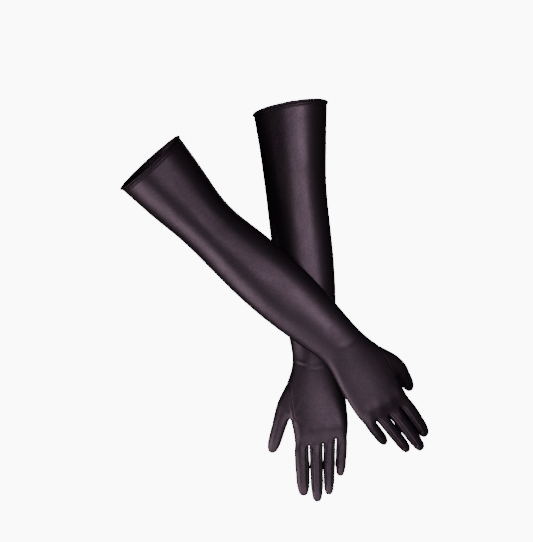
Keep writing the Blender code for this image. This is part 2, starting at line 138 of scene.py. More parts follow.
# side is the thumb's side: -1 towards -X, +1 towards +X. Leans are degrees from straight down
# towards +X; tilts and rolls turn the hand's fingers and its thumb edge away from the viewer;
# wrist_swell is how much wider the sleeve is just above the wrist than at it.
LEFT = Glove(
    name="left", side=-1, opening=(-1.4, 0.0, 0.0), upper_lean=3.77, forearm_lean=6.755,
    forearm_length=248.0, hand_lean=3.8, hand_tilt=2.0, hand_roll=0.0, hem_tilt=-7.0,
    hem_slant=6.3, wrist_forward=(0.0, 0.0), wrist_swell=-2.5,
    sections=[Section(HEM_DEPTH, 105.0, 96.0, 0.0),
              Section(UPPER_LENGTH - ELBOW_REACH, 95.0, 90.0, 0.0),
              Section(UPPER_LENGTH, 86.5, 82.0, 0.0),
              Section(UPPER_LENGTH + ELBOW_REACH, 88.0, 74.0, 0.0),
              Section(262.0, 83.5, 62.0, 0.0)],
    finger_leans=(1.0, 2.2, 3.9, 6.2), finger_tilts=(3.0, 3.0, 3.0, 3.0),
    thumb_aim=(0.33, 0.93, -0.12), thumb_curl=0.10)
RIGHT = Glove(
    name="right", side=1, opening=(-201.6, -44.0, -79.9), upper_lean=42.35, forearm_lean=48.2,
    forearm_length=262.6, hand_lean=33.9, hand_tilt=12.0, hand_roll=18.0, hem_tilt=9.0,
    hem_slant=0.0, wrist_forward=(8.0, 12.0), wrist_swell=5.0,
    sections=[Section(HEM_DEPTH, 109.0, 98.0, 0.0),
              Section(UPPER_LENGTH - ELBOW_REACH, 98.5, 92.0, 2.0),
              Section(UPPER_LENGTH, 77.0, 84.0, 8.0),
              Section(UPPER_LENGTH + ELBOW_REACH, 89.0, 74.0, 14.0),
              Section(268.0, 94.5, 66.0, 19.0)],
    finger_leans=(7.4, 8.8, 10.3, 12.1), finger_tilts=(27.5, 24.0, 27.0, 37.5),
    thumb_aim=(0.14, 0.80, -0.58), thumb_curl=0.0)

RING = 12                  # corners of a sleeve or hand section
FINGER_ANGLES = (0.0, 52.0, 128.0, 180.0, 232.0, 308.0)
THUMB_ANGLES = tuple(45.0 * step for step in range(8))


def shrink(corners):
    """How much smoothing pulls in a closed section with this many corners."""
    return (2.0 + math.cos(2.0 * math.pi / corners)) / 3.0


def lean_direction(lean, tilt=0.0):
    """Downward direction leaning towards +X and tilted away from the viewer, in degrees."""
    lean, tilt = math.radians(lean), math.radians(tilt)
    return Vector((math.sin(lean) * math.cos(tilt), math.sin(tilt),
                   -math.cos(lean) * math.cos(tilt)))


class Axes:
    """Across (to the thumb), along (to the fingertips) and back (to the back of the hand)."""

    def __init__(self, origin, along, side, roll=0.0):
        self.origin = Vector(origin)
        self.along = along.normalized()
        facing = Vector((0.0, -1.0, 0.0))
        across = side * facing.cross(self.along).normalized()
        back = side * self.along.cross(across)
        turn = math.radians(roll)
        self.across = math.cos(turn) * across - math.sin(turn) * back
        self.back = math.cos(turn) * back + math.sin(turn) * across

    def point(self, across, along, back):
        return self.origin + across * self.across + along * self.along + back * self.back

    def direction(self, across, along, back):
        return across * self.across + along * self.along + back * self.back


class Cage:
    """Corners and quads of one glove, each quad with its piece and the cut of cloth it is from."""

    def __init__(self):
        self.points, self.faces, self.pieces, self.names = [], [], [], []

    def ring(self, points):
        first = len(self.points)
        self.points.extend(points)
        return list(range(first, first + len(points)))

    def face(self, corners, piece):
        """piece is (name of the piece, name of its cut)."""
        if piece not in self.names:
            self.names.append(piece)
        self.faces.append(corners)
        self.pieces.append(self.names.index(piece))

    def bridge(self, ring_a, ring_b, piece_of, skip=()):
        """Join two rings corner by corner; piece_of names the piece of each column."""
        count = len(ring_a)
        for column in range(count):
            if column in skip:
                continue
            after = (column + 1) % count
            self.face((ring_a[column], ring_a[after], ring_b[after], ring_b[column]),
                      piece_of(column))


def section_ring(axes, width, depth, squareness=1.0, shift=0.0, slope=0.0):
    """Closed section of a sleeve or a hand; squareness below 1 makes it boxy."""
    half_width, half_depth = width / 2.0 / shrink(RING), depth / 2.0 / shrink(RING)
    points = []
    for corner in range(RING):
        angle = 2.0 * math.pi * corner / RING
        sine = math.sin(angle)
        height = math.copysign(abs(sine) ** squareness, sine) if abs(sine) > 1e-9 else 0.0
        across = shift + half_width * math.cos(angle)
        points.append(axes.point(across, slope * across, half_depth * height))
    return points


def tilted(axes, tilt, slant):
    """Turn a section: tilt dips its near edge, slant lifts its +X edge."""
    turned = Axes(axes.origin, axes.along, 1)
    turned.across, turned.back = axes.across.copy(), axes.back.copy()
    dip = math.tan(math.radians(tilt))
    rise = math.tan(math.radians(slant))
    turned.back = axes.back + dip * axes.along
    turned.across = axes.across + math.copysign(rise, -axes.across.x) * axes.along
    return turned


def sleeve_piece(part):
    """Back panel on the first half of the ring, palm panel on the second."""
    def piece(column):
        cut = "back" if column < RING // 2 else "palm"
        return part + "_" + cut + "_panel", cut
    return piece


def ring_piece(name):
    """One flexible ring of fabric, across both side seams."""
    return lambda column: (name, "back" if column < RING // 2 else "palm")


def thumb_piece(name):
    """One piece round the thumb, with the seams of its back and palm halves."""
    return lambda column: (name, "thumb back" if column < 4 else "thumb palm")


def sleeve_rings(cage, glove):
    """Rings from the hem seam down to the wrist; returns them with the wrist's axes."""
    opening = Vector(glove.opening)
    upper = lean_direction(glove.upper_lean)
    forearm = lean_direction(glove.forearm_lean)
    elbow = opening + UPPER_LENGTH * upper

    def centre(along, forward):
        if along <= UPPER_LENGTH:
            place = opening + along * upper
        else:
            place = elbow + (along - UPPER_LENGTH) * forearm
        return place + Vector((0.0, -forward, 0.0))

    wrist_along = UPPER_LENGTH + glove.forearm_length
    rings = []
    for index, section in enumerate(glove.sections):
        direction = upper if section.along < UPPER_LENGTH else forearm
        if section.along == UPPER_LENGTH:
            direction = upper + forearm
        axes = Axes(centre(section.along, section.forward), direction, glove.side)
        if index == 0:
            axes = tilted(axes, glove.hem_tilt, glove.hem_slant)
        rings.append(cage.ring(section_ring(axes, section.width, section.depth)))
    middle, end = glove.wrist_forward
    before = Axes(centre(wrist_along - WRIST_REACH, end), forearm, glove.side,
                  glove.hand_roll * 0.3)
    rings.append(cage.ring(section_ring(before, WRIST_WIDTH + glove.wrist_swell,
                                        WRIST_DEPTH + 6.0)))
    hand = lean_direction(glove.hand_lean, glove.hand_tilt)
    wrist = centre(wrist_along, middle)
    bend = Axes(wrist, forearm + hand, glove.side, glove.hand_roll * 0.6)
    rings.append(cage.ring(section_ring(bend, WRIST_WIDTH, WRIST_DEPTH)))
    return rings, Axes(wrist, hand, glove.side, glove.hand_roll)


def hand_rings(cage, hand):
    """Rings of the palm: wrist end, thumb middle, thumb crotch and knuckles."""
    def ring(along, width, depth, shift, slope=0.0):
        axes = Axes(hand.point(0.0, along, 0.0), hand.along, 1)
        axes.across, axes.back = hand.across, hand.back
        return cage.ring(section_ring(axes, width, depth, 0.72, shift, slope))

    return [ring(WRIST_REACH + 3.0, PALM_WIDTH - 3.0, PALM_DEPTH + 4.0, 3.5),
            ring((WRIST_REACH + CROTCH_AT) / 2.0, PALM_WIDTH + 0.5, PALM_DEPTH + 2.0, 2.5),
            ring(CROTCH_AT, PALM_WIDTH - 1.5, PALM_DEPTH, 0.5),
            ring(KNUCKLES_AT, KNUCKLE_WIDTH, PALM_DEPTH - 2.0, -1.0, 0.08)]


def web_ring(cage, hand):
    """Ring of the finger webs, and the three corners between the fingers."""
    index, little = FINGERS[0], FINGERS[-1]
    edge_r = index.across + index.width / 2.0 + 0.6
    edge_u = little.across - little.width / 2.0 - 0.6
    tops = [(index.across + index.width * 0.22, index.root)] + WEBS
    tops.append((little.across - little.width * 0.22, little.root))
    backs, palms = [], []
    for place, (across, along) in enumerate(tops):
        outer = place in (0, len(tops) - 1)
        height = 8.8 if outer else 8.2
        backs.append(hand.point(across, along - WEB_SLOPE, height))
        palms.append(hand.point(across, along + WEB_SLOPE, -height))
    corners = [hand.point(edge_r, index.root, 0.0)] + backs
    corners += [hand.point(edge_u, little.root, -1.0)] + palms[::-1]
    middles = [hand.point(across, along + 0.5, -0.5) for across, along in WEBS]
    return cage.ring(corners), cage.ring(middles)


def finger_axes(glove, hand, number):
    """Axes of a finger at its root: leaning to the thumb and curling to the palm."""
    finger = FINGERS[number]
    lean = math.radians(glove.finger_leans[number])
    tilt = math.radians(glove.finger_tilts[number] - glove.hand_tilt)
    along = hand.direction(math.sin(lean), math.cos(lean) * math.cos(tilt),
                           -math.cos(lean) * math.sin(tilt))
    axes = Axes(hand.point(finger.across, finger.root, finger.rise), along, glove.side)
    axes.across = (hand.across - hand.across.dot(axes.along) * axes.along).normalized()
    axes.back = glove.side * axes.along.cross(axes.across)
    return axes


def smoothed_reach(offsets):
    """How far a smoothed closed section reaches, from its corners' offsets in one direction."""
    count = len(offsets)
    reach = 0.0
    for corner in range(count):
        before, here = offsets[corner - 1], offsets[corner]
        after, beyond = offsets[(corner + 1) % count], offsets[(corner + 2) % count]
        at_corner = (before + 4.0 * here + after) / 6.0
        at_middle = (before + 23.0 * here + 23.0 * after + beyond) / 48.0
        reach = max(reach, at_corner, at_middle)
    return reach


def ring_at(axes, along, drop, width, depth, angles):
    """Section of a finger or thumb at a distance along it, drop towards the palm."""
    turns = [math.radians(angle) for angle in angles]
    half_width = width / 2.0 / smoothed_reach([math.cos(turn) for turn in turns])
    half_depth = depth / 2.0 / smoothed_reach([math.sin(turn) for turn in turns])
    return [axes.point(half_width * math.cos(turn), along, half_depth * math.sin(turn) - drop)
            for turn in turns]


def finger_cut(column, has_radial, has_ulnar):
    """Cut of cloth of a finger's column: a side strip where it faces another finger."""
    if has_radial and column in (0, 5):
        return "thumb side strip"
    if has_ulnar and column in (2, 3):
        return "little side strip"
    return "back" if column < 3 else "palm"


def finger_piece(name, has_radial, has_ulnar):
    strips = {"thumb side strip": "_fourchette_thumb_side",
              "little side strip": "_fourchette_little_side"}

    def piece(column):
        cut = finger_cut(column, has_radial, has_ulnar)
        return name + strips.get(cut, "_stall"), cut
    return piece


def build_finger(cage, glove, hand, number, web, middles):
    finger = FINGERS[number]
    axes = finger_axes(glove, hand, number)
    count = len(FINGERS)
    thumb_side = web[0] if number == 0 else middles[number - 1]
    little_side = web[RING // 2] if number == count - 1 else middles[number]
    root = [thumb_side, web[1 + number], web[2 + number], little_side,
            web[RING - 2 - number], web[RING - 1 - number]]
    curl = 0.10 * finger.length

    def ring(share, size, beyond=0.0):
        along = share * finger.length + beyond
        drop = curl * (along / finger.length) ** 2
        return cage.ring(ring_at(axes, along, drop, size * finger.width, size * finger.depth,
                                 FINGER_ANGLES))

    start = ring(0.0, 1.0, beyond=ROOT_LENGTH * 0.42)
    end = ring(0.0, 1.0, beyond=ROOT_LENGTH)
    body = ring(0.52, 0.97)
    pad = ring(1.0, 0.90, beyond=-0.80 * finger.width)
    tip = ring(1.0, 0.60, beyond=0.02 * finger.width)
    sides = finger_piece(finger.name, number > 0, number < count - 1)
    root_piece = lambda column: (finger.name + "_root", sides(column)[1])
    cage.bridge(root, start, root_piece)
    cage.bridge(start, end, root_piece)
    cage.bridge(end, body, sides)
    cage.bridge(body, pad, sides)
    stall = finger.name + "_stall"
    cage.bridge(pad, tip, lambda column: (stall, "back" if column < 3 else "palm"))
    cage.face(tuple(tip), (stall, "back"))
    return axes


def thumb_axes(glove, hand):
    """Axes of the thumb at the start of its flexible root."""
    along = hand.direction(*glove.thumb_aim)
    centre = hand.point(PALM_WIDTH / 2.0 + THUMB_WIDTH * 0.60, CROTCH_AT - 5.0, -6.0)
    axes = Axes(centre, along, glove.side)
    axes.back = (hand.back - hand.back.dot(axes.along) * axes.along).normalized()
    axes.across = glove.side * axes.back.cross(axes.along)
    return axes


def build_thumb(cage, glove, hand, rings):
    """Thumb grown out of the opening between three palm rings."""
    upper, middle, lower = rings
    mouth = [upper[0], upper[1], middle[1], lower[1], lower[0], lower[-1], middle[-1], upper[-1]]
    axes = thumb_axes(glove, hand)

    def ring(along, size):
        drop = glove.thumb_curl * along * along / THUMB_LENGTH
        return cage.ring(ring_at(axes, along, drop, size * THUMB_WIDTH, size * THUMB_DEPTH,
                                 THUMB_ANGLES))

    start = ring(0.0, 1.12)
    outer = [max(0.0, math.cos(math.radians(angle))) for angle in THUMB_ANGLES]
    swell = cage.ring([(cage.points[a] + cage.points[b]) / 2.0 + share * THUMB_SWELL * hand.across
                       for a, b, share in zip(mouth, start, outer)])
    end = ring(THUMB_ROOT, 1.0)
    body = ring(THUMB_LENGTH * 0.58, 0.98)
    pad = ring(THUMB_LENGTH - 0.62 * THUMB_WIDTH, 0.90)
    tip = ring(THUMB_LENGTH + 0.02 * THUMB_WIDTH, 0.58)
    halves = lambda column: (("thumb_back_panel", "thumb back") if column < 4
                             else ("thumb_palm_panel", "thumb palm"))
    cage.bridge(mouth, swell, thumb_piece("thumb_gusset"))
    cage.bridge(swell, start, thumb_piece("thumb_gusset"))
    cage.bridge(start, end, thumb_piece("thumb_root"))
    cage.bridge(end, body, halves)
    cage.bridge(body, pad, halves)
    cage.bridge(pad, tip, halves)
    cage.face((tip[0], tip[1], tip[2], tip[3], tip[4]), halves(0))
    cage.face((tip[4], tip[5], tip[6], tip[7], tip[0]), halves(4))
    return axes


def glove_cage(glove):
    """Whole glove as one coarse surface, open at the hem seam; also its hand's axes."""
    cage = Cage()
    sleeve, hand = sleeve_rings(cage, glove)
    palm = hand_rings(cage, hand)
    web, middles = web_ring(cage, hand)
    rings = sleeve + palm + [web]
    thumb = (0, RING - 1)
    spans = ([sleeve_piece("upper_arm")] + 2 * [ring_piece("elbow_sleeve")]
             + 2 * [sleeve_piece("forearm")] + 2 * [ring_piece("wrist_sleeve")]
             + 4 * [sleeve_piece("hand")])
    first_palm = len(sleeve)
    for number, piece_of in enumerate(spans):
        skip = thumb if number in (first_palm, first_palm + 1) else ()
        cage.bridge(rings[number], rings[number + 1], piece_of, skip)
    build_thumb(cage, glove, hand, palm[:3])
    for number in range(len(FINGERS)):
        build_finger(cage, glove, hand, number, web, middles)
    return cage, hand




# ---------------------------------------------------------------- Skin and its relief

SLEEVE_LEVELS = 4          # smoothing steps of sleeves, wrists and palms
FINGER_LEVELS = 3          # smoothing steps of fingers and thumbs, whose sections are small
SEAM_REACH = 9.0           # the seams work on the fabric this far to each side
GROOVE_DEPTH, GROOVE_WIDTH = 0.55, 0.75
PUCKER_HEIGHT, PUCKER_PITCH, PUCKER_REACH = 0.22, 4.5, 3.2
EASE_HEIGHT = 0.55         # slack of the stretched fabric over the arm
KNUCKLE_HEIGHT, KNUCKLE_RADIUS = 0.9, 7.5
JOINTS_AT = (0.40, 0.72)   # finger joints, as shares of the finger's length
TIP_REACH, TIP_PUCKER = 9.0, 0.42
DRAG_REACH, DRAG_HEIGHT = 24.0, 0.18

# A fold on the skin: which axes it lies in, its middle, half length, width, height and turn
Fold = namedtuple("Fold", "axes across along half_length width height turn face")
FOLDS = {
    "left": [
        Fold("hand", 12.0, 0.0, 20.0, 2.6, 0.50, -10.0, 1),
        Fold("hand", 8.0, 4.5, 24.0, 2.2, -0.55, -5.0, 1),
        Fold("hand", -8.0, 8.0, 20.0, 2.8, 0.40, 4.0, 1),
        Fold("hand", 0.0, -2.0, 26.0, 2.4, 0.6, 4.0, -1),
        Fold("hand", 0.0, 5.0, 24.0, 2.2, -0.6, -3.0, -1),
        Fold("hand", 33.0, 62.0, 9.0, 2.0, 0.5, 52.0, 1),
    ],
    "right": [
        Fold("hand", 4.0, -6.0, 20.0, 4.0, 0.35, 5.0, 1),
        Fold("hand", 0.0, 2.0, 22.0, 2.4, 0.6, 0.0, -1),
        Fold("hand", 2.0, -5.0, 24.0, 2.6, -0.6, 4.0, -1),
    ],
}


def skin_arrays(glove, cage, levels):
    """Corners in millimetres, quads, and each quad's label on the smoothed skin."""
    mesh = bpy.data.meshes.new(glove.name + "_cage")
    faces = [face if glove.side > 0 else face[::-1] for face in cage.faces]
    mesh.from_pydata([tuple(point) for point in cage.points], [], faces)
    for _ in cage.names:
        mesh.materials.append(None)
    mesh.polygons.foreach_set("material_index", cage.pieces)
    form = bpy.data.objects.new(glove.name + "_form", mesh)
    bpy.context.scene.collection.objects.link(form)
    form.modifiers.new("smooth", "SUBSURF").levels = levels
    evaluated = form.evaluated_get(bpy.context.evaluated_depsgraph_get())
    skin = bpy.data.meshes.new_from_object(evaluated)
    points = np.zeros(3 * len(skin.vertices))
    quads = np.zeros(4 * len(skin.polygons), dtype=np.int64)
    labels = np.zeros(len(skin.polygons), dtype=np.int64)
    skin.vertices.foreach_get("co", points)
    skin.loops.foreach_get("vertex_index", quads)
    skin.polygons.foreach_get("material_index", labels)
    bpy.data.objects.remove(form)
    bpy.data.meshes.remove(skin)
    bpy.data.meshes.remove(mesh)
    return points.reshape(-1, 3), quads.reshape(-1, 4), labels


def corner_normals(points, quads):
    corners = points[quads]
    facing = np.cross(corners[:, 2] - corners[:, 0], corners[:, 3] - corners[:, 1])
    normals = np.zeros_like(points)
    for corner in range(4):
        np.add.at(normals, quads[:, corner], facing)
    return normals / np.maximum(np.linalg.norm(normals, axis=1), 1e-9)[:, None]


def seam_distances(points, quads, cuts):
    """Distance of each corner from the nearest seam, along the skin and up to SEAM_REACH."""
    sides = {}
    near = [[] for _ in points]
    for quad, cut in zip(quads.tolist(), cuts):
        for corner in range(4):
            a, b = quad[corner], quad[(corner + 1) % 4]
            sides.setdefault((min(a, b), max(a, b)), []).append(cut)
        for a, b in ((quad[0], quad[2]), (quad[1], quad[3])):
            near[a].append(b)
            near[b].append(a)
    distances = np.full(len(points), SEAM_REACH)
    queue = []
    for (a, b), both in sides.items():
        near[a].append(b)
        near[b].append(a)
        if len(set(both)) > 1:
            for corner in (a, b):
                distances[corner] = 0.0
                queue.append((0.0, corner))
    heapq.heapify(queue)
    while queue:
        distance, corner = heapq.heappop(queue)
        if distance > distances[corner]:
            continue
        for other in near[corner]:
            step = distance + float(np.linalg.norm(points[other] - points[corner]))
            if step < distances[other]:
                distances[other] = step
                heapq.heappush(queue, (step, other))
    return distances


def noise_at(places, scale, seed):
    """Smooth noise from -1 to 1 at each place; scale is the size of its swells on each axis."""
    shift = Vector((17.3 * seed, 5.1 * seed, 9.7 * seed))
    scaled = places / np.array(scale)
    return np.array([noise.noise(Vector(place) + shift) for place in scaled])


def bell(values, width):
    return np.exp(-(values / width) ** 2)


def within(points, axes):
    """Across, along and back of points, in the given axes."""
    frame_of = np.array([axes.across, axes.along, axes.back])
    return (points - np.array(axes.origin)) @ frame_of.T


class Shape:
    """Axes of all parts of one glove."""

    def __init__(self, glove, hand):
        opening = Vector(glove.opening)
        upper = lean_direction(glove.upper_lean)
        forearm = lean_direction(glove.forearm_lean)
        self.glove, self.hand = glove, hand
        self.upper = Axes(opening, upper, glove.side)
        self.forearm = Axes(opening + UPPER_LENGTH * upper, forearm, glove.side)
        self.thumb = thumb_axes(glove, hand)
        self.fingers = [finger_axes(glove, hand, number) for number in range(len(FINGERS))]

    def axes_of(self, piece):
        """Axes that the cloth of a piece was cut along."""
        if piece.startswith(("upper_arm", "elbow", "hem")):
            return self.upper
        if piece.startswith("forearm"):
            return self.forearm
        if piece.startswith(("thumb_back", "thumb_palm")):
            return self.thumb
        for finger, axes in zip(FINGERS, self.fingers):
            if piece.startswith(finger.name) and not piece.endswith("_root"):
                return axes
        return self.hand


def fold_relief(shape, points, facing):
    """Folds of slack fabric, each a soft ridge or furrow that fades at its ends."""
    relief = np.zeros(len(points))
    for fold in FOLDS[shape.glove.name]:
        axes = getattr(shape, fold.axes)
        across, along, _ = within(points, axes).T
        turn = math.radians(fold.turn)
        lengthwise = (across - fold.across) * math.cos(turn) + (along - fold.along) * math.sin(turn)
        sideways = (along - fold.along) * math.cos(turn) - (across - fold.across) * math.sin(turn)
        sideways += 0.010 * lengthwise ** 2
        towards = facing @ np.array(axes.back) * fold.face
        seen = np.clip(towards * 2.0, 0.0, 1.0)
        relief += (fold.height * bell(sideways, fold.width) * bell(lengthwise, fold.half_length)
                   * seen)
    return relief


def hand_relief(shape, points, facing):
    """Knuckles and the joints of the fingers, pushing at the fabric from inside."""
    across, along, _ = within(points, shape.hand).T
    on_back = np.clip(facing @ np.array(shape.hand.back) * 1.6, 0.0, 1.0)
    relief = np.zeros(len(points))
    for finger, axes in zip(FINGERS, shape.fingers):
        knuckle_at = finger.root - 0.16 * KNUCKLES_AT
        spread = np.hypot((across - finger.across * 0.96), (along - knuckle_at) * 0.75)
        relief += KNUCKLE_HEIGHT * bell(spread, KNUCKLE_RADIUS) * on_back
        aside, ahead, _ = within(points, axes).T
        inside = (np.abs(aside) < 0.62 * finger.width) & (ahead > 0.2 * finger.length)
        inside &= ahead < 1.1 * finger.length
        for share in JOINTS_AT:
            at = share * finger.length
            swell = 0.32 * bell(ahead - at, 6.0)
            crease = 0.28 * bell(ahead - at + 2.2, 1.3) + 0.22 * bell(ahead - at - 2.4, 1.2)
            palm_side = np.clip(-(facing @ np.array(axes.back)), 0.0, 1.0)
            relief += np.where(inside, swell - crease * (0.35 + palm_side), 0.0)
    return relief


def tip_relief(shape, points, distances):
    """Short gathers that run back from the seams at the ends of the fingers and the thumb."""
    relief = np.zeros(len(points))
    ends = [(axes, finger.length, finger.width)
            for finger, axes in zip(FINGERS, shape.fingers)]
    ends.append((shape.thumb, THUMB_LENGTH, THUMB_WIDTH))
    for number, (axes, length, width) in enumerate(ends):
        place = within(points, axes)
        aside, ahead, above = place.T
        near_tip = np.clip((ahead - length + TIP_REACH) / (0.6 * TIP_REACH), 0.0, 1.0)
        near_tip *= np.hypot(aside, above + 0.1 * length) < 1.1 * width
        gathers = noise_at(place, (1.5, 6.0, 1.5), 30 + number)
        relief += TIP_PUCKER * gathers * near_tip * (0.35 + 0.65 * bell(distances, 4.0))
    return relief


def drag_relief(shape, points):
    """Shallow drag lines that fan out from the thumb's crotch over the palm and the back."""
    crotch = shape.hand.point(PALM_WIDTH / 2.0 - 1.0, CROTCH_AT - 4.0, 0.0)
    across, along, _ = (within(points, shape.hand) - within(np.array([crotch]), shape.hand)).T
    reach = np.hypot(across, along)
    angle = np.arctan2(along, -across)
    lines = np.cos(6.0 * angle + 0.9) ** 3
    start = np.clip(reach / 6.0, 0.0, 1.0)
    return DRAG_HEIGHT * lines * start * bell(reach, DRAG_REACH)


def relief(shape, points, normals, distances):
    """How far the fabric stands out from the smooth skin, in millimetres."""
    total = -GROOVE_DEPTH * bell(distances, GROOVE_WIDTH)
    total += 0.16 * bell(distances - 2.4, 1.4)
    pucker = noise_at(points, (PUCKER_PITCH,) * 3, 3)
    total += PUCKER_HEIGHT * pucker * bell(distances, PUCKER_REACH)
    lengthwise = within(points, shape.forearm)
    sleeve = np.clip((-within(points, shape.hand)[:, 1] + 20.0) / 60.0, 0.0, 1.0)
    slack = noise_at(lengthwise, (34.0, 95.0, 34.0), 11)
    slack += 0.35 * noise_at(lengthwise, (15.0, 40.0, 15.0), 12)
    total += EASE_HEIGHT * slack * (0.25 + 0.75 * sleeve)
    total += fold_relief(shape, points, normals)
    total += hand_relief(shape, points, normals)
    total += tip_relief(shape, points, distances)
    total += drag_relief(shape, points)
    return total


class Skin:
    """Finished skin of one glove at one fineness, ready to be cut into pieces."""

    def __init__(self, shape, cage, levels):
        self.points, self.quads, self.labels = skin_arrays(shape.glove, cage, levels)
        self.piece_names = [piece for piece, cut in cage.names]
        cuts = [cage.names[label][1] for label in self.labels]
        self.distances = seam_distances(self.points, self.quads, cuts)
        smooth = corner_normals(self.points, self.quads)
        heights = relief(shape, self.points, smooth, self.distances)
        self.points = self.points + smooth * heights[:, None]
        self.normals = corner_normals(self.points, self.quads)
        self.pieces = {}
        label_pieces = np.array(self.piece_names)[self.labels]
        for piece in sorted(set(self.piece_names)):
            self.pieces[piece] = self.quads[label_pieces == piece]

    def opening_line(self):
        """Corners round the arm opening in order: place, way out and way up."""
        count = {}
        links = {}
        for quad in self.pieces["upper_arm_back_panel"].tolist() + \
                self.pieces["upper_arm_palm_panel"].tolist():
            for corner in range(4):
                a, b = quad[corner], quad[(corner + 1) % 4]
                count[(min(a, b), max(a, b))] = count.get((min(a, b), max(a, b)), 0) + 1
                links.setdefault(a, set()).add(b)
                links.setdefault(b, set()).add(a)
        rim = self.rim_edges(count)
        start = min(rim)
        line, corner, before = [], start, None
        while True:
            inner = [other for other in links[corner] if other not in rim][0]
            up = self.points[corner] - self.points[inner]
            out = self.normals[corner]
            up = up - out * (up @ out)
            line.append((self.points[corner], out, up / np.linalg.norm(up)))
            following = [other for other in rim[corner] if other != before]
            before, corner = corner, following[0]
            if corner == start:
                return line

    def rim_edges(self, count):
        """Neighbours along the arm opening of each corner on it."""
        whole = {}
        for quad in self.quads.tolist():
            for corner in range(4):
                a, b = quad[corner], quad[(corner + 1) % 4]
                whole[(min(a, b), max(a, b))] = whole.get((min(a, b), max(a, b)), 0) + 1
        rim = {}
        for (a, b), times in whole.items():
            if times == 1 and (a, b) in count:
                rim.setdefault(a, []).append(b)
                rim.setdefault(b, []).append(a)
        return rim


# ---------------------------------------------------------------- Materials

def node(tree, kind, **settings):
    made = tree.nodes.new("ShaderNode" + kind)
    for name, value in settings.items():
        setattr(made, name, value)
    return made


def mapped(tree, source, low, high, to_low, to_high):
    """A value moved from one range to another."""
    change = node(tree, "MapRange")
    for name, value in (("From Min", low), ("From Max", high),
                        ("To Min", to_low), ("To Max", to_high)):
        change.inputs[name].default_value = value
    tree.links.new(source, change.inputs["Value"])
    return change.outputs["Result"]


def stretched(tree, cloth, scale):
    """Cloth coordinates multiplied on each axis."""
    mapping = node(tree, "Mapping")
    mapping.inputs["Scale"].default_value = scale
    tree.links.new(cloth, mapping.inputs["Vector"])
    return mapping.outputs["Vector"]


def noise_of(tree, vector, detail, roughness=0.5):
    texture = node(tree, "TexNoise")
    texture.inputs["Scale"].default_value = 1.0
    texture.inputs["Detail"].default_value = detail
    texture.inputs["Roughness"].default_value = roughness
    tree.links.new(vector, texture.inputs["Vector"])
    return texture.outputs["Fac"]


def combined(tree, operation, first, second):
    math_node = node(tree, "Math", operation=operation)
    for socket, value in zip(math_node.inputs, (first, second)):
        if isinstance(value, float):
            socket.default_value = value
        else:
            tree.links.new(value, socket)
    return math_node.outputs["Value"]


def coloured(tree, factor, dark, light):
    mix = node(tree, "Mix", data_type="RGBA")
    mix.inputs["A"].default_value = (*dark, 1.0)
    mix.inputs["B"].default_value = (*light, 1.0)
    tree.links.new(factor, mix.inputs["Factor"])
    return mix.outputs["Result"]


def fabric(name, dark, light, roughness, shine, edge, grain=0.035):
    """Stretch satin: fine upright wales, a speckle of filament shine, and painted shade that
    darkens it along the seams.
    """
    made = bpy.data.materials.new(name)
    made.use_nodes = True
    tree = made.node_tree
    shader = tree.nodes["Principled BSDF"]
    cloth = node(tree, "Attribute", attribute_name="cloth").outputs["Vector"]
    seam = node(tree, "Attribute", attribute_name="seam").outputs["Fac"]
    filaments = noise_of(tree, stretched(tree, cloth, (2.6, 0.9, 2.6)), 2.0, 0.6)
    wales = noise_of(tree, stretched(tree, cloth, (5.5, 0.35, 5.5)), 1.0)
    broad = noise_of(tree, stretched(tree, cloth, (0.045, 0.02, 0.045)), 3.0)
    speckle = combined(tree, "ADD", combined(tree, "MULTIPLY", filaments, 0.65),
                       combined(tree, "MULTIPLY", wales, 0.35))
    # painted shade: at the seams the colour darkens to 0.15 of its tone, standing in for the shade
    # in the seam grooves; the same ramp also makes the seams rougher
    painted_seam_shade_and_roughness = mapped(tree, seam, 0.25, 1.1, 0.0, 1.0)
    tone = combined(tree, "MULTIPLY", mapped(tree, speckle, 0.36, 0.64, 0.25, 1.0),
                    mapped(tree, painted_seam_shade_and_roughness, 0.0, 1.0, 0.15, 1.0))
    tone = combined(tree, "MULTIPLY", tone, mapped(tree, broad, 0.3, 0.7, 0.80, 1.0))
    tree.links.new(coloured(tree, tone, dark, light), shader.inputs["Base Color"])
    rough = combined(tree, "ADD",
                     mapped(tree, speckle, 0.35, 0.65, roughness + 0.07, roughness - 0.07),
                     mapped(tree, painted_seam_shade_and_roughness, 0.0, 1.0, 0.22, 0.0))
    rough = combined(tree, "ADD", rough, mapped(tree, broad, 0.3, 0.7, 0.03, -0.03))
    tree.links.new(rough, shader.inputs["Roughness"])
    height = combined(tree, "ADD", combined(tree, "MULTIPLY", speckle, grain),
                      mapped(tree, seam, 0.0, 0.9, 0.0, 0.10))
    bump = node(tree, "Bump")
    bump.inputs["Distance"].default_value = MM
    tree.links.new(height, bump.inputs["Height"])
    tree.links.new(bump.outputs["Normal"], shader.inputs["Normal"])
    shader.inputs["Metallic"].default_value = shine
    shader.inputs["Specular Tint"].default_value = (edge, edge, edge, 1.0)
    shader.inputs["Specular IOR Level"].default_value = 0.3
    return made


def thread_material():
    """Twisted polyester sewing thread."""
    made = bpy.data.materials.new("sewing_thread")
    made.use_nodes = True
    tree = made.node_tree
    shader = tree.nodes["Principled BSDF"]
    cloth = node(tree, "Attribute", attribute_name="cloth").outputs["Vector"]
    twist = noise_of(tree, stretched(tree, cloth, (3.0, 3.0, 3.0)), 2.0)
    tree.links.new(coloured(tree, twist, (0.004, 0.003, 0.004), (0.020, 0.015, 0.019)),
                   shader.inputs["Base Color"])
    tree.links.new(mapped(tree, twist, 0.3, 0.7, 0.35, 0.55), shader.inputs["Roughness"])
    return made


